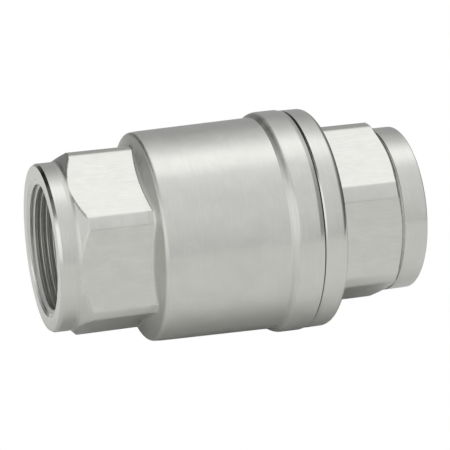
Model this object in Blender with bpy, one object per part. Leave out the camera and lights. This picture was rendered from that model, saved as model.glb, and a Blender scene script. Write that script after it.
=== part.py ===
"""In-line spring check valve with 1-1/2 inch female pipe threads.

The flow axis is X: the inlet port faces -X, the outlet port faces +X, and the origin is the
centre of the valve. A turned body and a turned end cap screw together at the seam. Inside,
a spring holds a poppet against a seat ring, and the flow lifts the poppet towards +X.

Stations are distances along the flow axis from the inlet face, so every outline is written
as (station, radius) pairs, and place() moves the finished mesh to the valve's own centre.
"""
import math

import bmesh
import bpy
from mathutils import Matrix, Vector

MM = 0.001

# Whole valve
LENGTH = 136.0 * MM
CLEARANCE = 0.3 * MM
EDGE = 0.8 * MM
PASSAGE_RADIUS = 20.5 * MM
LIFT = 10.0 * MM

# Pipe thread at both ends, shown here as its plain tapered bore
MOUTH_RADIUS = 24.6 * MM
THREAD_MINOR_RADIUS = 22.26 * MM
THREAD_LENGTH = 21.0 * MM
THREAD_TAPER = 1.0 / 32.0
RUNOUT_LENGTH = 2.5 * MM

# Body, from the inlet face to the seam. The hexagon's flats are milled on a turned blank,
# so its corners stay round. A turned cone with a hollow foot leads up to them from the
# collar, and a steeper cone leads from them up to the barrel.
INLET_CHAMFER_LENGTH = 1.15 * MM
INLET_CHAMFER_DEPTH = 0.7 * MM
INLET_COLLAR_RADIUS = 30.25 * MM
INLET_COLLAR_END = 9.0 * MM
INLET_CONE = ((6.85 * MM, 30.1 * MM), (7.2 * MM, 30.37 * MM), (8.0 * MM, 30.89 * MM))
INLET_CONE_END = 10.8 * MM
INLET_HEX_CORNER = 33.9 * MM
INLET_HEX_ACROSS_FLATS = 60.8 * MM
HEX_CORE_RADIUS = 27.5 * MM
SHOULDER_FOOT = 32.2 * MM
SHOULDER_FOOT_RADIUS = 29.0 * MM
SHOULDER_ROUND = 1.6 * MM
BARREL_START = 36.87 * MM
BARREL_RIM_RADIUS = 37.88 * MM
BARREL_RIM_END = 39.5 * MM
BARREL_START_RADIUS = 38.1 * MM
BARREL_END_RADIUS = 38.98 * MM
BAND_START = 80.85 * MM
BAND_ROUND = 4.35 * MM
BAND_ROUND_END = 84.45 * MM
BAND_RADIUS = 40.8 * MM
BAND_TAPER_LENGTH = 1.65 * MM
BAND_END_RADIUS = 40.45 * MM
SEAM = 93.0 * MM

# End cap, from the seam to the outlet face
FLANGE_RADIUS = 40.37 * MM
FLANGE_CHAMFER_LENGTH = 0.55 * MM
FLANGE_CHAMFER_DEPTH = 0.42 * MM
FLANGE_ROUND = 2.15 * MM
FLANGE_END = 101.9 * MM
OUTLET_HEX_CORNER = 33.5 * MM
OUTLET_HEX_ACROSS_FLATS = 60.6 * MM
OUTLET_CONE_START = 124.5 * MM
OUTLET_CONE_END = 126.3 * MM
OUTLET_GROOVE_RADIUS = 29.7 * MM
OUTLET_COLLAR_START = 127.1 * MM
OUTLET_COLLAR_RADIUS = 30.3 * MM
OUTLET_CHAMFER = 0.3 * MM
CAP_FUNNEL_LENGTH = 22.0 * MM

# Inside the body
SEAT_POCKET_START = 40.0 * MM
SEAT_POCKET_RADIUS = 27.5 * MM
CHAMBER_START = 46.2 * MM
CHAMBER_RADIUS = 33.0 * MM
CHAMBER_CONE = 3.2 * MM
GUIDE_LEDGE = 76.0 * MM
COUNTERBORE_RADIUS = 35.0 * MM

# Seat ring and its O-ring
SEAT_FACE = 46.2 * MM
SEAT_LIP_HEIGHT = 0.7 * MM
SEAT_LIP_RADIUS = 22.8 * MM
SEAT_STEP = 2.4 * MM
SEAT_STEP_RADIUS = 24.0 * MM
SEAT_O_RING_SECTION = 0.85 * MM
SEAT_O_RING_RADIUS = 25.75 * MM

# Poppet: thicknesses and radii of the stack on the stem
SEAL_THICKNESS = 3.0 * MM
SEAL_INNER_RADIUS = 10.0 * MM
SEAL_OUTER_RADIUS = 24.5 * MM
RETAINER_THICKNESS = 2.5 * MM
RETAINER_RADIUS = 17.0 * MM
WASHER_THICKNESS = 1.2 * MM
WASHER_RADIUS = 7.2 * MM
NUT_HEIGHT = 5.8 * MM
NUT_ACROSS_FLATS = 13.0 * MM
NUT_CORNER = 7.4 * MM
DISC_THICKNESS = 3.0 * MM
DISC_RADIUS = 26.2 * MM
DISC_RIM_DEPTH = 1.8 * MM
STEM_HOLE_RADIUS = 4.2 * MM
STEM_THREAD_RADIUS = 3.9 * MM
STEM_RADIUS = 4.0 * MM
STEM_END = 88.0 * MM
SHOULDER_RADIUS = 7.5 * MM
SHOULDER_THICKNESS = 1.5 * MM

# Poppet: stations of the stack when the seal rests on the seat
SEAL_START = SEAT_FACE + SEAT_LIP_HEIGHT + CLEARANCE
RETAINER_START = SEAL_START - CLEARANCE - RETAINER_THICKNESS
WASHER_START = RETAINER_START - CLEARANCE - WASHER_THICKNESS
NUT_START = WASHER_START - CLEARANCE - NUT_HEIGHT
STEM_START = NUT_START - EDGE
DISC_START = SEAL_START + SEAL_THICKNESS + CLEARANCE
DISC_END = DISC_START + DISC_THICKNESS
SHOULDER_START = DISC_END + CLEARANCE
SHOULDER_END = SHOULDER_START + SHOULDER_THICKNESS

# Outlet guide: a cast spider that carries the stem, clamped with the gasket under the cap
GUIDE_RING_START = GUIDE_LEDGE + CLEARANCE
GUIDE_RING_END = GUIDE_RING_START + 3.4 * MM
GUIDE_RING_INNER_RADIUS = 30.5 * MM
GUIDE_RING_OUTER_RADIUS = COUNTERBORE_RADIUS - CLEARANCE
GUIDE_HUB_START = SHOULDER_END + LIFT + CLEARANCE
GUIDE_HUB_END = 84.0 * MM
GUIDE_HUB_RADIUS = 7.5 * MM
GUIDE_HUB_BORE = 5.5 * MM
GUIDE_COLLAR_START = 74.5 * MM
GUIDE_COLLAR_RADIUS = 14.0 * MM
GUIDE_ARMS = 4
GUIDE_ARM_WIDTH = 3.5 * MM
GUIDE_ARM_DEPTH_AT_HUB = 6.4 * MM
GASKET_START = GUIDE_RING_END + CLEARANCE
GASKET_END = GASKET_START + 1.5 * MM
SPIGOT_END = GASKET_END + CLEARANCE

# Spring: 1.2 mm wire, 24 mm across the middle of the wire, one flat turn at each end
SPRING_WIRE_RADIUS = 0.6 * MM
SPRING_COIL_RADIUS = 12.0 * MM
SPRING_TURNS = 5.5
SPRING_FLAT_TURNS = 1.0
SPRING_FLAT_PITCH = 1.5 * MM
SPRING_SEAT_THICKNESS = 1.2 * MM
SPRING_SEAT_INNER_RADIUS = 7.9 * MM
SPRING_SEAT_OUTER_RADIUS = 14.5 * MM
SPRING_START = SHOULDER_START + SPRING_SEAT_THICKNESS + CLEARANCE
SPRING_END = GUIDE_COLLAR_START - CLEARANCE

# Facets round one turn, and how sharp an edge is before it stops being shaded smooth
LARGE_STEPS = 48
SMALL_STEPS = 32
COIL_STEPS = 20
WIRE_SIDES = 6
O_RING_SIDES = 8
SHARP_ANGLE = math.radians(28)
CUTTER_RADIUS = 60.0 * MM
MERGE_DISTANCE = 0.00001 * MM


def clear_scene():
    for item in list(bpy.data.objects):
        bpy.data.objects.remove(item, do_unlink=True)


def material(name, colour, roughness, metallic):
    made = bpy.data.materials.new(name)
    made.use_nodes = True
    shader = made.node_tree.nodes["Principled BSDF"]
    shader.inputs["Base Color"].default_value = (*colour, 1.0)
    shader.inputs["Roughness"].default_value = roughness
    shader.inputs["Metallic"].default_value = metallic
    return made


def place(maker, name, finish):
    """Turn a bmesh made in stations into a named object centred on the valve."""
    bmesh.ops.translate(maker, verts=maker.verts, vec=(-LENGTH / 2, 0, 0))
    bmesh.ops.recalc_face_normals(maker, faces=maker.faces)
    mesh = bpy.data.meshes.new(name)
    maker.to_mesh(mesh)
    maker.free()
    mesh.shade_smooth()
    mesh.set_sharp_from_angle(angle=SHARP_ANGLE)
    mesh.materials.append(finish)
    made = bpy.data.objects.new(name, mesh)
    bpy.context.collection.objects.link(made)
    return made


def turned(name, outline, finish, steps=LARGE_STEPS):
    """Spin a closed (station, radius) outline about the flow axis."""
    maker = bmesh.new()
    verts = [maker.verts.new((station, 0, radius)) for station, radius in outline]
    edges = [maker.edges.new((verts[i - 1], verts[i])) for i in range(len(verts))]
    bmesh.ops.spin(maker, geom=verts + edges, axis=(1, 0, 0), cent=(0, 0, 0),
                   angle=math.tau, steps=steps, use_merge=True)
    bmesh.ops.remove_doubles(maker, verts=maker.verts, dist=MERGE_DISTANCE)
    return place(maker, name, finish)


def ring(name, start, end, inner, outer, finish, steps=SMALL_STEPS):
    """A plain ring of rectangular section."""
    return turned(name, [(start, inner), (start, outer), (end, outer), (end, inner)], finish, steps)


def arc(station, radius, bend, start, end, steps=3):
    """Points on a rounded corner of an outline, from start to end in degrees."""
    points = []
    for i in range(steps + 1):
        angle = math.radians(start + (end - start) * i / steps)
        points.append((station + bend * math.cos(angle), radius + bend * math.sin(angle)))
    return points


def extruded(maker, faces, step):
    """Grow faces of a bmesh along step, keeping the faces it starts from."""
    grown = bmesh.ops.extrude_face_region(maker, geom=faces)
    moved = [item for item in grown["geom"] if isinstance(item, bmesh.types.BMVert)]
    bmesh.ops.translate(maker, verts=moved, vec=step)


def hide_tool(tool):
    tool.hide_render = True
    tool.display_type = "WIRE"


def boolean(target, tool, operation):
    step = target.modifiers.new(tool.name, "BOOLEAN")
    step.operation = operation
    step.solver = "EXACT"
    step.object = tool
    hide_tool(tool)


def flats_cutter(name, start, end, across_flats):
    """A thick tube with a hexagonal hole, corner up, which mills six flats on a turned blank."""
    maker = bmesh.new()
    corner_radius = across_flats / math.sqrt(3)
    inner = []
    outer = []
    for i in range(6):
        angle = math.radians(90 + 60 * i)
        outward = Vector((0, math.cos(angle), math.sin(angle)))
        inner.append(maker.verts.new(Vector((start, 0, 0)) + corner_radius * outward))
        outer.append(maker.verts.new(Vector((start, 0, 0)) + CUTTER_RADIUS * outward))
    faces = [maker.faces.new((inner[i - 1], inner[i], outer[i], outer[i - 1])) for i in range(6)]
    extruded(maker, faces, (end - start, 0, 0))
    return place(maker, name, steel)


def port_outline():
    """The threaded port's inside wall, as distances in from the pipe face."""
    countersink = MOUTH_RADIUS - THREAD_MINOR_RADIUS
    return [
        (0.0, MOUTH_RADIUS),
        (countersink, THREAD_MINOR_RADIUS),
        (THREAD_LENGTH, THREAD_MINOR_RADIUS - THREAD_LENGTH * THREAD_TAPER),
        (THREAD_LENGTH + RUNOUT_LENGTH, PASSAGE_RADIUS),
    ]


def inlet_hexagon():
    """The turned ring that the inlet flats are milled on, with a solid core inside it."""
    start = INLET_CONE[0][0]
    end = BARREL_START
    outline = [(start, HEX_CORE_RADIUS), *INLET_CONE, (INLET_CONE_END, INLET_HEX_CORNER)]
    outline += [(end, INLET_HEX_CORNER), (end, HEX_CORE_RADIUS)]
    return turned("valve_body", outline, steel)


def body_turning():
    """Everything on the body that is made on a lathe, apart from the hexagon."""
    seam_face = SEAM - CLEARANCE / 2
    outline = [(0.0, INLET_COLLAR_RADIUS - INLET_CHAMFER_DEPTH)]
    outline += [(INLET_CHAMFER_LENGTH, INLET_COLLAR_RADIUS), (INLET_COLLAR_END, INLET_COLLAR_RADIUS)]
    outline += [(INLET_COLLAR_END, SHOULDER_FOOT_RADIUS), (SHOULDER_FOOT, SHOULDER_FOOT_RADIUS)]
    outline += arc(BARREL_START, BARREL_RIM_RADIUS - SHOULDER_ROUND, SHOULDER_ROUND, 158, 95)
    outline += [(BARREL_RIM_END, BARREL_START_RADIUS), (BAND_START, BARREL_END_RADIUS)]
    outline += arc(BAND_ROUND_END, BAND_RADIUS - BAND_ROUND, BAND_ROUND, 136, 91)
    outline += [(seam_face - BAND_TAPER_LENGTH, BAND_RADIUS), (seam_face, BAND_END_RADIUS)]
    outline += [(seam_face, COUNTERBORE_RADIUS + EDGE), (seam_face - EDGE, COUNTERBORE_RADIUS)]
    outline += [(GUIDE_LEDGE, COUNTERBORE_RADIUS), (GUIDE_LEDGE, CHAMBER_RADIUS)]
    outline += [(CHAMBER_START + CHAMBER_CONE, CHAMBER_RADIUS), (CHAMBER_START, SEAT_POCKET_RADIUS)]
    outline += [(SEAT_POCKET_START, SEAT_POCKET_RADIUS), (SEAT_POCKET_START, PASSAGE_RADIUS)]
    outline += reversed(port_outline())
    return turned("body_turning", outline, steel)


def valve_body():
    body = inlet_hexagon()
    flats = flats_cutter("inlet_flats", 0.0, BARREL_START + EDGE, INLET_HEX_ACROSS_FLATS)
    boolean(body, flats, "DIFFERENCE")
    boolean(body, body_turning(), "UNION")


def end_cap():
    seam_face = SEAM + CLEARANCE / 2
    spigot_radius = COUNTERBORE_RADIUS - CLEARANCE
    outline = [(SPIGOT_END, GUIDE_RING_INNER_RADIUS), (SPIGOT_END, spigot_radius - EDGE)]
    outline += [(SPIGOT_END + EDGE, spigot_radius), (seam_face, spigot_radius)]
    outline += [(seam_face, FLANGE_RADIUS - FLANGE_CHAMFER_DEPTH)]
    outline += [(seam_face + FLANGE_CHAMFER_LENGTH, FLANGE_RADIUS)]
    outline += arc(FLANGE_END - FLANGE_ROUND, FLANGE_RADIUS - FLANGE_ROUND, FLANGE_ROUND, 90, 0)
    outline += [(FLANGE_END, OUTLET_HEX_CORNER), (OUTLET_CONE_START, OUTLET_HEX_CORNER)]
    outline += [(OUTLET_CONE_END, OUTLET_GROOVE_RADIUS)]
    outline += [(OUTLET_COLLAR_START - CLEARANCE, OUTLET_GROOVE_RADIUS)]
    outline += [(OUTLET_COLLAR_START, OUTLET_COLLAR_RADIUS)]
    outline += [(LENGTH - OUTLET_CHAMFER, OUTLET_COLLAR_RADIUS)]
    outline += [(LENGTH, OUTLET_COLLAR_RADIUS - OUTLET_CHAMFER)]
    outline += [(LENGTH - inward, radius) for inward, radius in port_outline()]
    outline += [(SPIGOT_END + CAP_FUNNEL_LENGTH, PASSAGE_RADIUS)]
    cap = turned("end_cap", outline, steel)
    flats = flats_cutter("outlet_flats", FLANGE_END, OUTLET_CONE_END, OUTLET_HEX_ACROSS_FLATS)
    boolean(cap, flats, "DIFFERENCE")


def seat():
    """The seat ring, screwed into the body from the chamber, with an O-ring in its step."""
    start = SEAT_POCKET_START + CLEARANCE
    outer = SEAT_POCKET_RADIUS - CLEARANCE
    lip = SEAT_FACE + SEAT_LIP_HEIGHT
    outline = [(start, PASSAGE_RADIUS), (start, SEAT_STEP_RADIUS)]
    outline += [(start + SEAT_STEP, SEAT_STEP_RADIUS), (start + SEAT_STEP, outer)]
    outline += [(SEAT_FACE, outer), (SEAT_FACE, SEAT_LIP_RADIUS + SEAT_LIP_HEIGHT)]
    outline += [(lip, SEAT_LIP_RADIUS), (lip, PASSAGE_RADIUS + SEAT_LIP_HEIGHT)]
    outline += [(SEAT_FACE, PASSAGE_RADIUS)]
    turned("seat_ring", outline, bright_steel)
    o_ring_station = SEAT_POCKET_START + (SEAT_STEP + CLEARANCE) / 2
    section = arc(o_ring_station, SEAT_O_RING_RADIUS, SEAT_O_RING_SECTION, 0, 360, O_RING_SIDES)
    turned("seat_o_ring", section[:-1], rubber)


def poppet_disc():
    rim = DISC_START - DISC_RIM_DEPTH
    recess = SEAL_OUTER_RADIUS + CLEARANCE
    outline = [(DISC_START, STEM_HOLE_RADIUS), (DISC_START, recess), (rim, recess)]
    outline += [(rim, DISC_RADIUS - EDGE / 2), (rim + EDGE / 2, DISC_RADIUS)]
    outline += [(DISC_END - 2 * EDGE, DISC_RADIUS), (DISC_END, DISC_RADIUS - 2 * EDGE)]
    outline += [(DISC_END, STEM_HOLE_RADIUS)]
    turned("poppet_disc", outline, bright_steel)


def poppet_stem():
    outline = [(STEM_START, 0.0), (STEM_START, STEM_THREAD_RADIUS - EDGE)]
    outline += [(STEM_START + EDGE, STEM_THREAD_RADIUS), (SHOULDER_START, STEM_THREAD_RADIUS)]
    outline += [(SHOULDER_START, SHOULDER_RADIUS), (SHOULDER_END, SHOULDER_RADIUS)]
    outline += [(SHOULDER_END, STEM_RADIUS), (STEM_END - EDGE, STEM_RADIUS)]
    outline += [(STEM_END, STEM_RADIUS - EDGE), (STEM_END, 0.0)]
    turned("poppet_stem", outline, bright_steel, SMALL_STEPS)


def seal_retainer():
    end = RETAINER_START + RETAINER_THICKNESS
    outline = [(RETAINER_START, STEM_HOLE_RADIUS), (RETAINER_START, RETAINER_RADIUS - 2 * EDGE)]
    outline += [(RETAINER_START + EDGE, RETAINER_RADIUS), (end, RETAINER_RADIUS), (end, STEM_HOLE_RADIUS)]
    turned("seal_retainer", outline, bright_steel)


def retainer_nut():
    end = NUT_START + NUT_HEIGHT
    outline = [(NUT_START, STEM_HOLE_RADIUS), (NUT_START, NUT_ACROSS_FLATS / 2)]
    outline += [(NUT_START + EDGE, NUT_CORNER), (end, NUT_CORNER), (end, STEM_HOLE_RADIUS)]
    nut = turned("retainer_nut", outline, bright_steel, SMALL_STEPS)
    boolean(nut, flats_cutter("nut_flats", NUT_START - EDGE, end + EDGE, NUT_ACROSS_FLATS), "DIFFERENCE")


def poppet():
    """The moving stack: nut, washer, retainer, seal and disc clamped on the stem's shoulder."""
    poppet_stem()
    poppet_disc()
    ring("disc_seal", SEAL_START, SEAL_START + SEAL_THICKNESS, SEAL_INNER_RADIUS, SEAL_OUTER_RADIUS, ptfe)
    seal_retainer()
    ring("lock_washer", WASHER_START, WASHER_START + WASHER_THICKNESS, STEM_HOLE_RADIUS, WASHER_RADIUS,
         bright_steel)
    retainer_nut()
    ring("spring_seat", SHOULDER_START, SHOULDER_START + SPRING_SEAT_THICKNESS,
         SPRING_SEAT_INNER_RADIUS, SPRING_SEAT_OUTER_RADIUS, bright_steel)


def coil_station(turn):
    """Where the middle of the wire lies along the axis after this many turns."""
    first = SPRING_START + SPRING_WIRE_RADIUS
    last = SPRING_END - SPRING_WIRE_RADIUS
    flat_rise = SPRING_FLAT_PITCH * SPRING_FLAT_TURNS
    left = SPRING_TURNS - turn
    if turn < SPRING_FLAT_TURNS:
        return first + SPRING_FLAT_PITCH * turn
    if left < SPRING_FLAT_TURNS:
        return last - SPRING_FLAT_PITCH * left
    share = (turn - SPRING_FLAT_TURNS) / (SPRING_TURNS - 2 * SPRING_FLAT_TURNS)
    return first + flat_rise + share * (last - first - 2 * flat_rise)


def poppet_spring():
    """A ring of wire swept along the coil, capped at both ends."""
    maker = bmesh.new()
    loops = []
    for i in range(int(SPRING_TURNS * COIL_STEPS) + 1):
        turn = i / COIL_STEPS
        outward = Vector((0, math.cos(math.tau * turn), math.sin(math.tau * turn)))
        centre = Vector((coil_station(turn), 0, 0)) + SPRING_COIL_RADIUS * outward
        loop = []
        for side in range(WIRE_SIDES):
            bend = math.tau * (side + 0.5) / WIRE_SIDES
            offset = outward * math.cos(bend) + Vector((1, 0, 0)) * math.sin(bend)
            loop.append(maker.verts.new(centre + SPRING_WIRE_RADIUS * offset))
        loops.append(loop)
    for before, after in zip(loops, loops[1:]):
        for side in range(WIRE_SIDES):
            maker.faces.new((before[side - 1], before[side], after[side], after[side - 1]))
    maker.faces.new(loops[0])
    maker.faces.new(loops[-1])
    place(maker, "poppet_spring", spring_steel)


def guide_hub():
    outline = [(GUIDE_HUB_START, GUIDE_HUB_BORE), (GUIDE_HUB_START, GUIDE_HUB_RADIUS)]
    outline += [(GUIDE_COLLAR_START, GUIDE_HUB_RADIUS), (GUIDE_COLLAR_START, GUIDE_COLLAR_RADIUS)]
    outline += [(GUIDE_RING_START, GUIDE_COLLAR_RADIUS), (GUIDE_RING_END, GUIDE_COLLAR_RADIUS - 2 * EDGE)]
    outline += [(GUIDE_RING_END + EDGE, GUIDE_HUB_RADIUS), (GUIDE_HUB_END, GUIDE_HUB_RADIUS - EDGE)]
    outline += [(GUIDE_HUB_END, GUIDE_HUB_BORE)]
    return turned("guide_hub", outline, cast_steel)


def guide_arm(name, angle):
    """One rib, deeper at the hub than at the ring, from inside the hub to inside the ring."""
    hub_side = GUIDE_HUB_RADIUS - EDGE
    ring_side = GUIDE_RING_INNER_RADIUS + 2 * EDGE
    front = GUIDE_RING_START + EDGE / 2
    outline = [(front, ring_side), (GUIDE_RING_END - EDGE / 2, ring_side)]
    outline += [(front + GUIDE_ARM_DEPTH_AT_HUB, hub_side), (front, hub_side)]
    maker = bmesh.new()
    verts = [maker.verts.new((station, -GUIDE_ARM_WIDTH / 2, radius)) for station, radius in outline]
    extruded(maker, [maker.faces.new(verts)], (0, GUIDE_ARM_WIDTH, 0))
    bmesh.ops.rotate(maker, verts=maker.verts, cent=(0, 0, 0), matrix=Matrix.Rotation(angle, 3, "X"))
    return place(maker, name, cast_steel)


def outlet_guide():
    """Outer ring, four ribs and a long hub, as one casting, with a bush pressed in the hub."""
    guide = ring("outlet_guide", GUIDE_RING_START, GUIDE_RING_END, GUIDE_RING_INNER_RADIUS,
                 GUIDE_RING_OUTER_RADIUS, cast_steel, LARGE_STEPS)
    for i in range(GUIDE_ARMS):
        arm = guide_arm("guide_arm_%d" % (i + 1), math.tau * (i + 0.5) / GUIDE_ARMS)
        boolean(guide, arm, "UNION")
    boolean(guide, guide_hub(), "UNION")
    ring("guide_bush", GUIDE_HUB_START + CLEARANCE, GUIDE_HUB_END - CLEARANCE,
         STEM_RADIUS + CLEARANCE, GUIDE_HUB_BORE - CLEARANCE, ptfe)
    ring("body_gasket", GASKET_START, GASKET_END, GUIDE_RING_INNER_RADIUS + CLEARANCE,
         GUIDE_RING_OUTER_RADIUS, ptfe, LARGE_STEPS)


clear_scene()
steel = material("satin_stainless", (0.62, 0.62, 0.59), 0.34, 1.0)
bright_steel = material("machined_stainless", (0.66, 0.66, 0.65), 0.22, 1.0)
cast_steel = material("cast_stainless", (0.52, 0.52, 0.50), 0.48, 1.0)
spring_steel = material("spring_wire", (0.60, 0.60, 0.59), 0.25, 1.0)
ptfe = material("ptfe", (0.90, 0.90, 0.88), 0.45, 0.0)
rubber = material("black_rubber", (0.03, 0.03, 0.03), 0.60, 0.0)

valve_body()
end_cap()
seat()
poppet()
poppet_spring()
outlet_guide()
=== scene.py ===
"""A 1-1/2 inch stainless in-line check valve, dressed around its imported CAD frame.

The flow axis is X. Stations are millimetres along it from the inlet face, radii are
millimetres from it, and angles go round it from +Y towards +Z. Turned pieces are rows of
points, one row for each station, which make closed skins.
"""
import math

import bmesh
import bpy
import numpy as np
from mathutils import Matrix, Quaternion, Vector


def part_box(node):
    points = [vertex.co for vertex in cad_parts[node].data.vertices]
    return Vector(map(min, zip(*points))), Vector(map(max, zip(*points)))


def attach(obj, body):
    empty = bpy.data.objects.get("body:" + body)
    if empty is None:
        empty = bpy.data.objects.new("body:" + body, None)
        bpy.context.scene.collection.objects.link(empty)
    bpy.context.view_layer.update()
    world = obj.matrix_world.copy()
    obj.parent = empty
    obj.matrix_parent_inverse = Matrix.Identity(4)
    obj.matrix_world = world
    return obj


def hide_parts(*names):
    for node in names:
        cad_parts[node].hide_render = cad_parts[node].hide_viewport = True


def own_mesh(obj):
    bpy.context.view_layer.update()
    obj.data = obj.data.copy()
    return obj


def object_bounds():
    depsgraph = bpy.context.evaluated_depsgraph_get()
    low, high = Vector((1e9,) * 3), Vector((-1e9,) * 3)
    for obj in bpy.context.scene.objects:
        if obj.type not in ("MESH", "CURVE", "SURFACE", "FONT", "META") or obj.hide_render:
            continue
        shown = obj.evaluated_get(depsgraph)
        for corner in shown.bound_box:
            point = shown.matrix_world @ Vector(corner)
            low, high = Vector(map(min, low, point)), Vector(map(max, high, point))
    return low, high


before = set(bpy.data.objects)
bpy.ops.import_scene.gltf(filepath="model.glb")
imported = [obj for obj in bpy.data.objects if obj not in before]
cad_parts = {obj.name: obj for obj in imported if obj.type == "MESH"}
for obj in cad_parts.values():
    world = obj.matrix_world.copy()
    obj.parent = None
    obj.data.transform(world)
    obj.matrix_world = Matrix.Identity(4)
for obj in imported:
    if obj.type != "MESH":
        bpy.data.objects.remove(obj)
cad_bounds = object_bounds()

MM = 0.001
INLET_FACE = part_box("valve_body")[0].x / MM
LENGTH = (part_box("end_cap")[1].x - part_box("valve_body")[0].x) / MM
FLOOR = cad_bounds[0][2]

# Pipe thread, 11.5 turns to the inch, tapering 1 in 16 on its diameter
PITCH = 25.4 / 11.5
THREAD_HEIGHT = 0.8 * PITCH
THREAD_FLAT = 0.06
THREAD_TAPER = 1 / 32
THREAD_MINOR = 22.26
THREAD_LENGTH = 21.0
THREAD_RUNOUT = 1.5 * PITCH
THREAD_START = 0.37
ROWS_PER_PITCH = 14

# Each port: its countersunk mouth, the thread, a plain relief and the passage behind it
MOUTH = 24.9
COUNTERSINK = 0.7
RELIEF_RADIUS = 21.65
RELIEF_END = 24.2
PASSAGE = 20.5

# The two hexagons are milled on turned blanks, so their corners stay round
HALF_SIDE = 30
CORNER_ANGLES = [math.radians(90 + 2 * HALF_SIDE * i) for i in range(6)]
FLAT_BLEND = 0.30
INLET_FLATS = 60.8
INLET_CORNER = 33.9
OUTLET_FLATS = 60.6
OUTLET_CORNER = 33.5

# Places where the outlines of the body and the end cap start or change
COLLAR_RADIUS = 30.25
COLLAR_END = 5.0
SHOULDER_END = 37
SHOULDER_BLEND = 1.8
SPIGOT_START = 81.8
FLANGE_FACE = 101.9
FLANGE_FILLET = 1.0
OUTLET_NECK = 29.7
OUTLET_NECK_START = 126.9

# Pieces inside the valve that fit each other
STACK_BORE = 4.2
STEM_RADIUS = 4.0
SPIGOT_RADIUS = 34.7


# ---- Outlines and skins -------------------------------------------------------------

def rounded(corners, steps=5, support=0.12):
    """Points of an open outline whose corners (station, radius, rounding) become arcs.

    A corner's rounding shrinks where its legs are too short. Where they are long enough, a
    point is added at the support distance from each end of the arc, to keep the legs straight.
    """
    nearly_straight = math.radians(89.5)
    leg_share = 0.96
    points = [np.array(c[:2], float) for c in corners]
    legs = [after - before for before, after in zip(points, points[1:])]
    lengths = [np.linalg.norm(leg) for leg in legs]
    halves, reaches = [0.0] * len(points), [0.0] * len(points)
    for i in range(1, len(points) - 1):
        straightness = np.clip(-legs[i - 1] @ legs[i] / lengths[i - 1] / lengths[i], -1, 1)
        halves[i] = math.acos(straightness) / 2
        reaches[i] = corners[i][2] / math.tan(halves[i])
    out = [points[0]]
    for i in range(1, len(points) - 1):
        here, half = points[i], halves[i]
        back, ahead = -legs[i - 1] / lengths[i - 1], legs[i] / lengths[i]
        if half > nearly_straight:
            out.append(here)
            continue
        fits = [leg_share * lengths[i + k - 1] / (reaches[i] + reaches[i + 2 * k - 1])
                for k in (0, 1)]
        reach = reaches[i] * min(1, *fits)
        bend = reach * math.tan(half)
        middle = here + (back + ahead) / np.linalg.norm(back + ahead) * bend / math.sin(half)
        first, last = here + back * reach - middle, here + ahead * reach - middle
        if min(fits) > 1 and reach + support < leg_share / 2 * min(lengths[i - 1:i + 1]):
            before, after = [here + back * (reach + support)], [here + ahead * (reach + support)]
        else:
            before, after = [], []
        out += before
        sweep = math.pi - 2 * half
        for step in range(steps + 1):
            share = step / steps
            weight_a = math.sin((1 - share) * sweep) / math.sin(sweep)
            weight_b = math.sin(share * sweep) / math.sin(sweep)
            out.append(middle + weight_a * first + weight_b * last)
        out += after
    out.append(points[-1])
    return out


def divided(points, step):
    """The same outline with no stretch longer than step."""
    out = [points[0]]
    for before, after in zip(points, points[1:]):
        parts = max(1, math.ceil(np.linalg.norm(after - before) / step))
        out += [before + (after - before) * i / parts for i in range(1, parts + 1)]
    return out


def row(station, radii):
    """A (stations, radii) row of a skin, all of it at one station."""
    return np.full(len(radii), station), radii


def rows(points, angles):
    """A round row of a skin for each point of an outline."""
    return [row(p[0], np.full(len(angles), p[1])) for p in points]


def even_angles(count):
    return np.arange(count) * math.tau / count


def hexagon_angles(strip):
    """Angles round a hexagonal piece, closer together beside its six round corner strips.

    A strip's half width is given in degrees.
    """
    close = [share * strip for share in (0, 0.35, 0.7, 0.88, 1, 1.12, 1.3)]
    wide = np.linspace(close[-1], HALF_SIDE, 10)[1:]
    half = np.radians(close + list(wide))
    offsets = np.concatenate([-half[:0:-1], half[:-1]])
    return np.concatenate([corner + offsets for corner in CORNER_ANGLES])


def flat_radii(angles, across_flats):
    """Distance from the axis to a hexagon's flats, with a corner straight up."""
    turn = (angles - CORNER_ANGLES[0]) % math.radians(2 * HALF_SIDE) - math.radians(HALF_SIDE)
    return across_flats / 2 / np.cos(turn)


def soft_min(a, b, blend):
    """The smaller of a and b, with the edge between them rounded over."""
    overlap = np.clip(blend - np.abs(a - b), 0, None) / blend
    return np.minimum(a, b) - overlap ** 2 * blend / 4


def soft_max(a, b, blend):
    """The larger of a and b, with the corner between them filled in."""
    return -soft_min(-a, -b, blend)


def thread_rows(angles, face, inward_sign, reverse):
    """A female pipe thread from its mouth at a face, which has a small countersink.

    The mouth's rounded edge comes before it, so its first rows are left out.
    """
    found = []
    count = math.ceil(THREAD_LENGTH / PITCH * ROWS_PER_PITCH)
    for i in range(2, count + 1):
        inward = THREAD_LENGTH * i / count
        station = face + inward_sign * inward
        phase = (station / PITCH - angles / math.tau + THREAD_START) % 1
        rise = np.clip((np.abs(2 * phase - 1) - THREAD_FLAT) / (1 - 2 * THREAD_FLAT), 0, 1)
        fade = min(1, (THREAD_LENGTH - inward) / THREAD_RUNOUT)
        radius = THREAD_MINOR - inward * THREAD_TAPER + THREAD_HEIGHT * rise * fade
        countersink = MOUTH - inward - 3 * max(0, inward - COUNTERSINK)
        found.append(row(station, np.maximum(radius, countersink)))
    return found[::-1] if reverse else found


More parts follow.
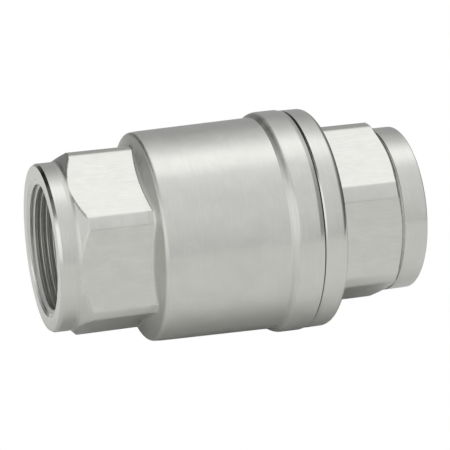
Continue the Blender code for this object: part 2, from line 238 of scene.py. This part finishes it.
def mesh_piece(name, verts, faces, finishes, indices=None):
    """A smooth mesh object from points (x, y, z) in millimetres."""
    mesh = bpy.data.meshes.new(name)
    mesh.from_pydata((np.array(verts) * MM).tolist(), [], faces)
    for finish in finishes:
        mesh.materials.append(finish)
    if indices is not None:
        mesh.polygons.foreach_set("material_index", indices)
    maker = bmesh.new()
    maker.from_mesh(mesh)
    bmesh.ops.remove_doubles(maker, verts=maker.verts, dist=1e-7)
    bmesh.ops.recalc_face_normals(maker, faces=maker.faces)
    maker.to_mesh(mesh)
    maker.free()
    mesh.shade_smooth()
    piece = bpy.data.objects.new(name, mesh)
    bpy.context.scene.collection.objects.link(piece)
    return piece


def skin(name, all_rows, angles, finishes, numbers=None, closed=True):
    """Join rows of points round the axis into one closed surface."""
    stations, radii = (np.array(part) for part in zip(*all_rows))
    verts = np.stack([stations + INLET_FACE, radii * np.cos(angles), radii * np.sin(angles)],
                     axis=-1)
    count, width = radii.shape
    faces, indices = [], []
    for i in range(count if closed else count - 1):
        ahead = (i + 1) % count
        for j in range(width):
            side = (j + 1) % width
            faces.append((i * width + j, ahead * width + j,
                          ahead * width + side, i * width + side))
            indices.append(int(numbers[i][j]) if numbers is not None else 0)
    return mesh_piece(name, verts.reshape(-1, 3), faces, finishes, indices)


def lathe(name, corners, finish, count=120):
    """A turned ring from the corners (station, radius, rounding) of its closed section."""
    points = rounded([corners[-1]] + corners + [corners[0]], 4)[1:-1]
    angles = even_angles(count)
    return skin(name, rows(points, angles), angles, [finish])


# ---- Finishes -----------------------------------------------------------------------

class Finish:
    """A Principled material whose nodes are added one at a time."""

    def __init__(self, name, colour, metallic, roughness):
        self.material = bpy.data.materials.new(name)
        self.material.use_nodes = True
        self.nodes = self.material.node_tree.nodes
        self.shader = self.nodes["Principled BSDF"]
        self.shader.inputs["Base Color"].default_value = (*colour, 1)
        self.shader.inputs["Metallic"].default_value = metallic
        self.shader.inputs["Roughness"].default_value = roughness
        self.place = self.node("ShaderNodeTexCoord").outputs["Object"]
        self.bump = None

    def node(self, kind, **settings):
        node = self.nodes.new(kind)
        for name, value in settings.items():
            setattr(node, name, value)
        return node

    def link(self, start, end):
        self.material.node_tree.links.new(start, end)

    def noise(self, grain, detail=2.0, roughness=0.5, distortion=0.0, offset=0.0):
        """Noise whose grain is (x, y, z) millimetres long."""
        mapping = self.node("ShaderNodeMapping")
        mapping.inputs["Scale"].default_value = [1 / (g * MM) for g in grain]
        mapping.inputs["Location"].default_value = (offset, offset, offset)
        self.link(self.place, mapping.inputs["Vector"])
        noise = self.node("ShaderNodeTexNoise")
        noise.inputs["Scale"].default_value = 1.0
        noise.inputs["Detail"].default_value = detail
        noise.inputs["Roughness"].default_value = roughness
        noise.inputs["Distortion"].default_value = distortion
        self.link(mapping.outputs["Vector"], noise.inputs["Vector"])
        return noise.outputs["Fac"]

    def spread(self, value, low, high, start=0.25, end=0.75):
        """Map a noise value from start..end to low..high."""
        node = self.node("ShaderNodeMapRange")
        node.inputs["From Min"].default_value = start
        node.inputs["From Max"].default_value = end
        node.inputs["To Min"].default_value = low
        node.inputs["To Max"].default_value = high
        self.link(value, node.inputs["Value"])
        return node.outputs["Result"]

    def product(self, first, second):
        node = self.node("ShaderNodeMath", operation="MULTIPLY")
        self.link(first, node.inputs[0])
        self.link(second, node.inputs[1])
        return node.outputs[0]

    def height(self, value, micrometres):
        """Add relief of this depth to the surface."""
        node = self.node("ShaderNodeBump")
        node.inputs["Strength"].default_value = 1.0
        node.inputs["Distance"].default_value = micrometres * 1e-6
        self.link(value, node.inputs["Height"])
        if self.bump is not None:
            self.link(self.bump, node.inputs["Normal"])
        self.bump = node.outputs["Normal"]
        self.link(self.bump, self.shader.inputs["Normal"])

    def tint(self, value, dark, light):
        """Let the colour go from dark to light with a value."""
        node = self.node("ShaderNodeMix", data_type="RGBA")
        node.inputs[6].default_value = (*dark, 1)
        node.inputs[7].default_value = (*light, 1)
        self.link(value, node.inputs[0])
        self.link(node.outputs[2], self.shader.inputs["Base Color"])

    def rough(self, value):
        self.link(value, self.shader.inputs["Roughness"])


def stainless(name, colour, roughness, grain, cloud, groove_depth, cloud_depth):
    """Stainless steel with fine grooves along the grain and a faint cloudy variation."""
    finish = Finish(name, colour, 1.0, roughness)
    fine = finish.noise(grain, 3.0, 0.6)
    wide = finish.noise([g * 5 for g in grain], 2.0, 0.5, 0.0, 3.7)
    clouds = finish.noise(cloud, 3.0, 0.55, 0.4, 9.1)
    dark, light = [tuple(c * factor for c in colour) for factor in (0.94, 1.05)]
    finish.tint(finish.spread(finish.product(fine, clouds), 0, 1, 0.12, 0.42), dark, light)
    smoothest, roughest = roughness * 0.82, roughness * 1.2
    finish.rough(finish.spread(finish.product(wide, clouds), smoothest, roughest, 0.1, 0.45))
    finish.height(fine, groove_depth)
    finish.height(wide, groove_depth * 1.6)
    finish.height(clouds, cloud_depth)
    return finish.material


STEEL = (0.60, 0.60, 0.575)
ROUND_GRAIN = (0.16, 9.0, 9.0)
turned_steel = stainless("turned_steel", STEEL, 0.21, ROUND_GRAIN, (9, 7, 7), 1.3, 9.0)
milled_steel = stainless("milled_steel", STEEL, 0.21, (5.0, 0.5, 0.5), (6, 5, 5), 0.8, 7.0)
satin_steel = stainless("satin_steel", STEEL, 0.42, ROUND_GRAIN, (9, 7, 7), 1.3, 9.0)
bright_steel = stainless("bright_steel", (0.66, 0.66, 0.645), 0.20, (0.12, 9, 9), (9, 7, 7),
                         0.9, 5.0)
nut_steel = stainless("nut_steel", (0.64, 0.64, 0.625), 0.24, (2.0, 0.4, 0.4), (4, 3, 3),
                      0.9, 5.0)
wire_steel = stainless("wire_steel", (0.60, 0.60, 0.59), 0.25, (0.8, 0.8, 0.8), (3, 3, 3),
                       0.8, 4.0)


def cast_finish():
    finish = Finish("cast_steel", (0.47, 0.47, 0.455), 1.0, 0.46)
    pebbles = finish.noise((0.5, 0.5, 0.5), 4.0, 0.6)
    clouds = finish.noise((5, 5, 5), 2.0, 0.5, 0.3, 4.0)
    finish.tint(finish.spread(clouds, 0, 1), (0.40, 0.40, 0.385), (0.52, 0.52, 0.505))
    finish.rough(finish.spread(pebbles, 0.38, 0.56))
    finish.height(pebbles, 45)
    finish.height(clouds, 60)
    return finish.material


def ptfe_finish():
    finish = Finish("ptfe", (0.86, 0.86, 0.83), 0.0, 0.42)
    lines = finish.noise((0.15, 6, 6), 2.0, 0.5)
    clouds = finish.noise((5, 5, 5), 2.0, 0.5, 0.2, 6.0)
    finish.tint(finish.spread(clouds, 0, 1), (0.80, 0.80, 0.765), (0.88, 0.88, 0.86))
    finish.rough(finish.spread(lines, 0.34, 0.50))
    finish.height(lines, 2.5)
    finish.shader.inputs["Subsurface Weight"].default_value = 0.25
    finish.shader.inputs["Subsurface Radius"].default_value = (0.0012, 0.0011, 0.0009)
    finish.shader.inputs["Subsurface Scale"].default_value = 1.0
    return finish.material


def rubber_finish():
    finish = Finish("black_rubber", (0.02, 0.02, 0.02), 0.0, 0.55)
    grain = finish.noise((0.3, 0.3, 0.3), 3.0, 0.6)
    finish.tint(finish.spread(grain, 0, 1), (0.014, 0.014, 0.014), (0.03, 0.03, 0.03))
    finish.rough(finish.spread(grain, 0.46, 0.66))
    finish.height(grain, 12)
    return finish.material


cast_steel = cast_finish()
ptfe = ptfe_finish()
black_rubber = rubber_finish()


# ---- Body and end cap ---------------------------------------------------------------

def strip_half_width(corner, across_flats):
    """Half the width, in degrees, of a hexagon's round corner strip."""
    return HALF_SIDE - math.degrees(math.acos(across_flats / 2 / corner))


def face_finishes(all_rows, angles, start, end, across_flats, satin):
    """Finish number of each face: 1 on the hexagon's flats, 2 in a satin zone, otherwise 0.

    A satin zone is (first station, last station, smallest radius, largest radius).
    """
    flats = flat_radii(angles, across_flats)
    tolerance = 0.05
    found = []
    for here, ahead in zip(all_rows, all_rows[1:] + all_rows[:1]):
        first, last = sorted((here[0][0], ahead[0][0]))
        close = np.abs(here[1] - flats) < tolerance
        milled = close & np.roll(close, -1) & (first >= start and last <= end)
        middle = (here[1] + ahead[1]) / 2
        ground = np.zeros(len(angles), bool)
        for low, high, smallest, largest in satin:
            ground |= (first >= low and last <= high) & (middle > smallest) & (middle < largest)
        found.append(np.where(milled, 1, np.where(ground, 2, 0)))
    return found


def valve_body():
    angles = hexagon_angles(strip_half_width(INLET_CORNER, INLET_FLATS))
    flats = flat_radii(angles, INLET_FLATS)
    collar = [(1.0, MOUTH - 1.0), (0, MOUTH, 0.15), (0, 29.55, 0.10), (1.15, COLLAR_RADIUS, 0.2)]
    collar += [(COLLAR_END, COLLAR_RADIUS)]
    found = rows(rounded(collar)[1:], angles)
    cone = [(COLLAR_END, COLLAR_RADIUS), (7.4, COLLAR_RADIUS, 2.2), (10.8, INLET_CORNER, 0.35)]
    cone += [(12.0, INLET_CORNER)]
    flats_start = 6.6
    for station, radius in divided(rounded(cone), 0.16)[1:]:
        blend = min(FLAT_BLEND, max(0.02, station - flats_start))
        found.append(row(station, soft_min(radius, flats, blend)))
    hexagon = soft_min(INLET_CORNER, flats, FLAT_BLEND)
    outside = [(31.5, 27.18), (35.75, 37.8, 1.6), (39.5, 38.1, 30), (80.95, 38.98, 0.5)]
    outside += [(82.6, 40.7, 4.3), (91.0, 40.8, 3), (92.65, 40.45, 0.12), (92.65, 35.8, 0.1)]
    outside += [(91.85, 35, 0.1)]
    inside = [(76, 35, 0.2), (76, 33, 0.3), (49.4, 33, 1.0), (46.2, 27.5, 0.3), (40, 27.5, 0.2)]
    inside += [(40, PASSAGE, 0.3), (RELIEF_END, PASSAGE, 1.2), (THREAD_LENGTH, RELIEF_RADIUS)]
    profile = rounded(outside + inside)[:-1]
    slope = divided(profile[:2], 0.15)
    for station, radius in slope + profile[2:]:
        if station < SHOULDER_END and MOUTH < radius < INLET_CORNER + SHOULDER_BLEND:
            found.append(row(station, soft_max(hexagon, radius, SHOULDER_BLEND)))
        else:
            found += rows([(station, radius)], angles)
    found += thread_rows(angles, 0, 1, reverse=True)
    cone_zone, shoulder_zone = (5.6, 10.9, 30.2, 34.2), (31.2, 36.9, 27.0, 38.0)
    band_zone, port_zone = (80.8, 83.6, 38.5, 40.9), (0.8, THREAD_LENGTH, 20, MOUTH)
    satin = [cone_zone, shoulder_zone, band_zone, port_zone]
    numbers = face_finishes(found, angles, 6.9, 35.0, INLET_FLATS, satin)
    return skin("turned_body", found, angles, [turned_steel, milled_steel, satin_steel], numbers)


def end_cap():
    angles = hexagon_angles(strip_half_width(OUTLET_CORNER, OUTLET_FLATS))
    flats = flat_radii(angles, OUTLET_FLATS)
    outside = [(SPIGOT_START, 32.0), (SPIGOT_START, 33.9, 0.15), (82.6, SPIGOT_RADIUS, 0.15)]
    outside += [(93.15, SPIGOT_RADIUS, 0.1), (93.15, 39.92, 0.1), (93.75, 40.37, 0.3)]
    outside += [(FLANGE_FACE, 40.37, 2.15), (FLANGE_FACE, 36.5)]
    found = rows(rounded(outside, 8), angles)
    edge = soft_min(OUTLET_CORNER, flats, FLAT_BLEND)
    found.append(row(FLANGE_FACE, edge + FLANGE_FILLET + 0.15))
    fillet_steps = 8
    for i in range(fillet_steps + 1):
        turn = math.radians(90) * i / fillet_steps
        station = FLANGE_FACE + FLANGE_FILLET * (1 - math.cos(turn))
        found.append(row(station, edge + FLANGE_FILLET * (1 - math.sin(turn))))
    blank = [(121.8, OUTLET_CORNER), (124.5, OUTLET_CORNER, 0.5), (126.15, 30.0, 0.8)]
    blank += [(OUTLET_NECK_START, OUTLET_NECK)]
    for station, radius in divided(rounded(blank), 0.16):
        found.append(row(station, soft_min(radius, flats, FLAT_BLEND)))
    collar = [(OUTLET_NECK_START, OUTLET_NECK), (127.05, OUTLET_NECK, 0.1), (127.2, 30.3, 0.12)]
    collar += [(LENGTH, 30.3, 0.4), (LENGTH, MOUTH, 0.15), (LENGTH - 1.0, MOUTH - 1.0)]
    found += rows(rounded(collar)[1:-1], angles)
    found += thread_rows(angles, LENGTH, -1, reverse=False)
    inside = [(LENGTH - THREAD_LENGTH, RELIEF_RADIUS), (LENGTH - RELIEF_END, PASSAGE, 1.2)]
    inside += [(103.8, PASSAGE, 3.0), (SPIGOT_START, 30.5, 0.2), (SPIGOT_START, 32.0)]
    found += rows(rounded(inside)[1:-1], angles)
    port_zone = (LENGTH - THREAD_LENGTH, LENGTH - 0.9, 20, MOUTH)
    flats_start, flats_end = FLANGE_FACE + FLANGE_FILLET, 126.1
    numbers = face_finishes(found, angles, flats_start, flats_end, OUTLET_FLATS, [port_zone])
    return skin("turned_end_cap", found, angles, [turned_steel, milled_steel, satin_steel], numbers)


# ---- Seat and poppet ----------------------------------------------------------------

def seat_ring():
    return lathe("bevelled_seat", [
        (40.3, PASSAGE, 0.2), (40.3, 24.0, 0.15), (42.7, 24.0, 0.2), (42.7, 27.2, 0.15),
        (46.2, 27.2, 0.2), (46.2, 23.5, 0.2), (46.9, 22.8, 0.12), (46.9, 21.2, 0.2),
        (46.2, PASSAGE, 0.3)], bright_steel, 144)


def o_ring():
    station, radius, thickness = 41.35, 25.75, 0.85
    section = [(station + thickness * math.cos(a), radius + thickness * math.sin(a))
               for a in even_angles(20)]
    angles = even_angles(120)
    return skin("seat_seal_ring", rows(section, angles), angles, [black_rubber])


def poppet_stem():
    """A rod with a shoulder, threaded M8 at the nut's end."""
    angles = even_angles(60)
    start, length, tip = 36.1, 6.9, 3.1
    pitch, crest, root = 1.25, 3.9, 3.3
    count = 76
    found = rows([(36.0, 0.0), (36.0, 2.9), (start, tip)], angles)
    for i in range(1, count + 1):
        station = start + length * i / count
        phase = (station / pitch - angles / math.tau) % 1
        groove = root + (crest - root) * np.clip(1.25 * np.abs(2 * phase - 1) - 0.1, 0, 1)
        found.append(row(station, np.minimum(groove, tip + station - start)))
    rest = [(43.2, crest), (53.8, crest, 0.2), (53.8, 7.5, 0.2), (55.3, 7.5, 0.3)]
    rest += [(55.3, STEM_RADIUS, 0.3), (87.2, STEM_RADIUS, 0.2), (88.0, 3.2, 0.2), (88.0, 0.0)]
    found += rows(rounded(rest), angles)
    return skin("threaded_stem", found, angles, [bright_steel], closed=False)


def poppet_disc():
    return lathe("dished_disc", [
        (50.5, STACK_BORE, 0.15), (50.5, 24.8, 0.2), (48.7, 24.8, 0.1), (48.7, 25.8, 0.1),
        (49.1, 26.2, 0.1), (51.9, 26.2, 0.3), (53.5, 24.6, 0.5), (53.5, STACK_BORE, 0.15)],
        bright_steel, 144)


def disc_seal():
    return lathe("seal_disc", [
        (47.2, 10, 0.1), (47.2, 24.5, 0.35), (50.2, 24.5, 0.35), (50.2, 10, 0.1)], ptfe, 144)


def seal_retainer():
    return lathe("retainer_plate", [
        (44.4, STACK_BORE, 0.2), (44.4, 15.4, 0.3), (45.2, 17, 0.3), (46.9, 17, 0.2),
        (46.9, STACK_BORE, 0.2)], bright_steel)


def lock_washer():
    """A split spring washer, drawn flat by the nut."""
    front, middle, back = 42.9, 43.5, 44.1
    section = rounded([(middle, STACK_BORE), (front, STACK_BORE, 0.2), (front, 7.2, 0.25),
                       (back, 7.2, 0.25), (back, STACK_BORE, 0.2), (middle, STACK_BORE)], 3)[:-1]
    split_lean = 0.09
    turns = np.radians(np.linspace(96, 444, 90))
    verts = []
    for turn in turns:
        for station, radius in section:
            lean = (station - middle) * split_lean
            verts.append((station + INLET_FACE, radius * math.cos(turn + lean),
                          radius * math.sin(turn + lean)))
    return tube_piece("split_washer", verts, len(turns), len(section), nut_steel)


def tube_piece(name, verts, loops, sides, finish):
    """Join successive loops of points into a tube with flat ends."""
    faces = [tuple(range(sides)), tuple(range((loops - 1) * sides, loops * sides))]
    for i in range(loops - 1):
        for j in range(sides):
            side = (j + 1) % sides
            faces.append((i * sides + j, i * sides + side,
                          (i + 1) * sides + side, (i + 1) * sides + j))
    piece = mesh_piece(name, verts, faces, [finish])
    piece.data.set_sharp_from_angle(angle=math.radians(50))
    return piece


def retainer_nut():
    """A hexagon nut whose corners are turned off at both ends."""
    angles = hexagon_angles(3.0)
    flats = flat_radii(angles, 13.0)
    start, end, bore = 36.8, 42.6, 4.05
    mouth = [(start + 0.5, bore), (start + 0.35, bore), (start, bore + 0.4), (start, 5.0)]
    found = rows(mouth, angles)
    chamfer = [(0.0, 6.1), (0.03, 6.2)] + [(0.03 + 0.12 * i, 6.2 + 0.2 * i) for i in range(1, 9)]
    stations = [start + s for s, r in chamfer] + [end - s for s, r in reversed(chamfer)]
    limits = [r for s, r in chamfer] + [r for s, r in reversed(chamfer)]
    for station, limit in zip(stations, limits):
        found.append(row(station, soft_min(limit, flats, 0.12)))
    found += rows([(end, 5.0), (end, bore + 0.4), (end - 0.35, bore), (end - 0.5, bore)], angles)
    return skin("hexagon_nut", found, angles, [nut_steel])


def spring_seat():
    return lathe("spring_plate", [
        (53.8, 7.9, 0.15), (53.8, 14.5, 0.25), (55.0, 14.5, 0.25), (55.0, 7.9, 0.15)], bright_steel)


# ---- Spring and outlet guide ----------------------------------------------------------

SPRING_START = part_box("poppet_spring")[0].x / MM - INLET_FACE
SPRING_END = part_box("poppet_spring")[1].x / MM - INLET_FACE
SPRING_TURNS = 5.5
WIRE_RADIUS = 0.6
COIL_RADIUS = 12.0


def coil_station(turn):
    """Station of the wire's middle: closed end turns, with an even pitch between them."""
    ground = 0.8
    first, last = SPRING_START + WIRE_RADIUS * ground, SPRING_END - WIRE_RADIUS * ground
    closed_rise = 1.25
    left = SPRING_TURNS - turn
    if turn < 1:
        return first + closed_rise * turn ** 2
    if left < 1:
        return last - closed_rise * left ** 2
    share = (turn - 1) / (SPRING_TURNS - 2)
    return first + closed_rise + share * (last - first - 2 * closed_rise)


def poppet_spring():
    """Round wire, with the outer side of both end turns ground flat."""
    sides, loops_per_turn = 12, 48
    loops = int(SPRING_TURNS * loops_per_turn) + 1
    verts = []
    for i in range(loops):
        turn = SPRING_TURNS * i / (loops - 1)
        angle = math.tau * turn
        for side in even_angles(sides):
            radius = COIL_RADIUS + WIRE_RADIUS * math.cos(side)
            station = coil_station(turn) + WIRE_RADIUS * math.sin(side)
            station = min(max(station, SPRING_START), SPRING_END)
            verts.append((station + INLET_FACE, radius * math.cos(angle), radius * math.sin(angle)))
    return tube_piece("coil_spring", verts, loops, sides, wire_steel)


def outlet_guide():
    """Ring, hub and four ribs, fused as a casting with soft inside corners."""
    ring = lathe("cast_guide", [
        (76.3, 30.5, 0.5), (76.3, SPIGOT_RADIUS, 0.3), (79.7, SPIGOT_RADIUS, 0.3),
        (79.7, 30.5, 0.8)], cast_steel)
    hub = lathe("hub", [
        (65.6, 5.5, 0.2), (65.6, 7.5, 0.4), (74.5, 7.5, 0.3), (74.5, 14.0, 0.4), (76.3, 14.0, 0.5),
        (79.7, 11.8, 1.0), (80.8, 7.5, 1.0), (84.0, 6.9, 0.4), (84.0, 5.5, 0.2)], cast_steel)
    ribs = []
    half_rib = 1.75
    for i in range(4):
        turn = math.radians(45 + 90 * i)
        across = Vector((0, -math.sin(turn), math.cos(turn)))
        outward = Vector((0, math.cos(turn), math.sin(turn)))
        outline = [(76.7, 32.2), (79.3, 32.2), (79.9, 26.0), (83.1, 6.9), (76.7, 6.9)]
        verts = [Vector((s + INLET_FACE, 0, 0)) + outward * r + across * w
                 for w in (-half_rib, half_rib) for s, r in outline]
        count = len(outline)
        faces = [tuple(range(count)), tuple(range(count, 2 * count))]
        faces += [(j, (j + 1) % count, count + (j + 1) % count, count + j) for j in range(count)]
        ribs.append(mesh_piece("rib", verts, faces, [cast_steel]))
    join_into(ring, [hub] + ribs)
    remesh = ring.modifiers.new("fuse", "REMESH")
    remesh.mode = "VOXEL"
    remesh.voxel_size = 0.36 * MM
    smooth = ring.modifiers.new("soften", "SMOOTH")
    smooth.factor = 0.5
    smooth.iterations = 7
    bake_modifiers(ring)
    ring.data.shade_smooth()
    return ring


def join_into(target, others):
    """Add the meshes of other objects to target, and remove them."""
    maker = bmesh.new()
    for item in [target] + others:
        maker.from_mesh(item.data)
    maker.to_mesh(target.data)
    maker.free()
    for item in others:
        bpy.data.objects.remove(item)


def bake_modifiers(piece):
    """Replace a piece's mesh by the shape that its modifiers give."""
    bpy.context.view_layer.update()
    seen = piece.evaluated_get(bpy.context.evaluated_depsgraph_get())
    mesh = bpy.data.meshes.new_from_object(seen)
    piece.modifiers.clear()
    piece.data = mesh


def guide_bush():
    return lathe("bush_sleeve", [
        (65.9, 4.3, 0.15), (65.9, 5.2, 0.1), (83.7, 5.2, 0.1), (83.7, 4.3, 0.15)], ptfe, 72)


def body_gasket():
    return lathe("flat_gasket", [
        (80.0, 30.8, 0.2), (80.0, SPIGOT_RADIUS, 0.2), (81.5, SPIGOT_RADIUS, 0.2),
        (81.5, 30.8, 0.2)], ptfe)


def dress(piece, body, node):
    """Put a piece on its body, in place of the frame's plain node."""
    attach(piece, body)
    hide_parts(node)
    return piece


dress(valve_body(), "housing", "valve_body")
dress(end_cap(), "housing", "end_cap")
dress(seat_ring(), "housing", "seat_ring")
dress(o_ring(), "housing", "seat_o_ring")
dress(outlet_guide(), "housing", "outlet_guide")
dress(guide_bush(), "housing", "guide_bush")
dress(body_gasket(), "housing", "body_gasket")
dress(poppet_stem(), "poppet", "poppet_stem")
dress(poppet_disc(), "poppet", "poppet_disc")
dress(disc_seal(), "poppet", "disc_seal")
dress(seal_retainer(), "poppet", "seal_retainer")
dress(lock_washer(), "poppet", "lock_washer")
dress(retainer_nut(), "poppet", "retainer_nut")
dress(spring_seat(), "poppet", "spring_seat")
coil = dress(poppet_spring(), "housing", "poppet_spring")
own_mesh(coil)


# ---- Camera, light and floor ------------------------------------------------------------

def add_camera():
    azimuth, elevation, distance = math.radians(17.35), math.radians(18.58), 0.70165
    data = bpy.data.cameras.new("camera")
    data.lens = 153.35
    data.sensor_width = 36
    data.clip_start = 0.01
    camera = bpy.data.objects.new("camera", data)
    camera.location = distance * Vector((-math.sin(azimuth) * math.cos(elevation),
                                         -math.cos(azimuth) * math.cos(elevation),
                                         math.sin(elevation)))
    aim = Vector((0.604, 0.058, 0.706)) * MM
    roll = Quaternion((0, 0, 1), math.radians(-1.0))
    camera.rotation_mode = "QUATERNION"
    camera.rotation_quaternion = (aim - camera.location).to_track_quat("-Z", "Y") @ roll
    bpy.context.scene.collection.objects.link(camera)
    bpy.context.scene.camera = camera


# How bright the studio is, by the angle round the flow axis: 0 is in front of the valve,
# 90 overhead and 180 behind it.
STUDIO_ROUND = [(-180, 0.42), (-90, 0.55), (-20, 0.68), (0, 0.76), (20, 0.87), (60, 0.97),
                (78, 1.06), (90, 1.42), (104, 1.48), (114, 1.18), (124, 0.88), (136, 0.68),
                (150, 0.50), (180, 0.42)]
# How much of that is left towards -X and +X, by the direction's X.
STUDIO_ALONG = [(-1, 1.0), (-0.8, 1.0), (-0.5, 0.8), (-0.25, 0.8), (0.0, 1.0), (0.45, 1.0),
                (0.62, 0.55), (0.8, 0.25), (1, 0.15)]
# Patches of other brightness: the direction of their middle, the cosines of the angle from it
# where they start and where they are full, and how bright they are then.
PATCHES = [((-0.50, 0.30, 0.81), 0.930, 0.985, 0.12), ((-0.34, 0.66, 0.67), 0.930, 0.985, 0.06),
           ((-0.62, -0.05, 0.78), 0.940, 0.985, 0.18), ((-0.20, 0.88, 0.42), 0.935, 0.985, 0.20),
           ((-0.6, -0.75, 0.2), 0.75, 0.9, 1.6)]


class World:
    """The studio's light, worked out from the direction it comes from."""

    def __init__(self):
        world = bpy.data.worlds.new("studio")
        bpy.context.scene.world = world
        world.use_nodes = True
        self.nodes, self.links = world.node_tree.nodes, world.node_tree.links
        self.direction = self.nodes.new("ShaderNodeTexCoord").outputs["Generated"]

    def math(self, operation, first, second=None):
        node = self.nodes.new("ShaderNodeMath")
        node.operation = operation
        for socket, value in zip(node.inputs, (first, second)):
            if isinstance(value, (int, float)):
                socket.default_value = value
            elif value is not None:
                self.links.new(value, socket)
        return node.outputs[0]

    def remap(self, value, start, end, low=0.0, high=1.0, kind="LINEAR"):
        node = self.nodes.new("ShaderNodeMapRange")
        node.interpolation_type = kind
        numbers = {"From Min": start, "From Max": end, "To Min": low, "To Max": high}
        for name, number in numbers.items():
            node.inputs[name].default_value = number
        self.links.new(value, node.inputs["Value"])
        return node.outputs["Result"]

    def levels(self, value, table):
        """Look a value up in a table of (value, level); levels go up to 2."""
        start, end, highest = table[0][0], table[-1][0], 2.0
        ramp = self.nodes.new("ShaderNodeValToRGB")
        elements = ramp.color_ramp.elements
        for i, (place, level) in enumerate(table):
            share = (place - start) / (end - start)
            stop = elements[i] if i < 2 else elements.new(share)
            stop.position = share
            grey = level / highest
            stop.color = (grey, grey, grey, 1)
        self.links.new(self.remap(value, start, end), ramp.inputs["Fac"])
        return self.math("MULTIPLY", ramp.outputs["Color"], highest)


def studio_world():
    world = World()
    split = world.nodes.new("ShaderNodeSeparateXYZ")
    world.links.new(world.direction, split.inputs[0])
    front = world.math("MULTIPLY", split.outputs["Y"], -1.0)
    around = world.math("ARCTAN2", split.outputs["Z"], front)
    degrees = world.math("MULTIPLY", around, 180 / math.pi)
    level = world.levels(degrees, STUDIO_ROUND)
    level = world.math("MULTIPLY", level, world.levels(split.outputs["X"], STUDIO_ALONG))
    for middle, start, full, brightness in PATCHES:
        facing = world.nodes.new("ShaderNodeVectorMath")
        facing.operation = "DOT_PRODUCT"
        facing.inputs[1].default_value = Vector(middle).normalized()
        world.links.new(world.direction, facing.inputs[0])
        share = world.remap(facing.outputs["Value"], start, full, 1.0, brightness, "SMOOTHSTEP")
        level = world.math("MULTIPLY", level, share)
    world.links.new(level, world.nodes["Background"].inputs["Strength"])
    world.nodes["Background"].inputs["Color"].default_value = (1, 1, 1, 1)


def floor(name, height, half_width, wall, colour, glow):
    """A plain pale sheet at a height, with walls round it if their height is not 0."""
    mesh = bpy.data.meshes.new(name)
    corners = [(-half_width, -half_width), (half_width, -half_width),
               (half_width, half_width), (-half_width, half_width)]
    verts = [(x, y, height) for x, y in corners]
    faces = [(0, 1, 2, 3)]
    if wall:
        verts += [(x, y, height + wall) for x, y in corners]
        faces += [(i, (i + 1) % 4, (i + 1) % 4 + 4, i + 4) for i in range(4)]
    mesh.from_pydata(verts, [], faces)
    paint = Finish(name, colour, 0.0, 1.0)
    paint.shader.inputs["Specular IOR Level"].default_value = 0.0
    paint.shader.inputs["Emission Color"].default_value = (1, 1, 1, 1)
    paint.shader.inputs["Emission Strength"].default_value = glow
    mesh.materials.append(paint.material)
    sheet = bpy.data.objects.new(name, mesh)
    bpy.context.scene.collection.objects.link(sheet)
    return sheet


def overhead_light():
    """A softbox above the valve, which lights the table and throws a soft shadow on it."""
    data = bpy.data.lights.new("softbox", "AREA")
    data.shape = "RECTANGLE"
    data.size, data.size_y = 0.8, 0.5
    data.energy = 3.0
    light = bpy.data.objects.new("softbox", data)
    light.location = (0, -0.15, 0.9)
    light.visible_glossy = False
    bpy.context.scene.collection.objects.link(light)


add_camera()
studio_world()
overhead_light()
backdrop = floor("white_floor", FLOOR - 0.002, 5.0, 6.0, (0.0, 0.0, 0.0), 1.0)
backdrop.visible_glossy = False
backdrop.visible_diffuse = False
backdrop.visible_shadow = False
table = floor("table", FLOOR, 0.6, 0.0, (0.82, 0.82, 0.81), 0.0)
table.visible_camera = False
bpy.context.scene.view_settings.view_transform = "Standard"
bpy.context.scene.view_settings.look = "None"
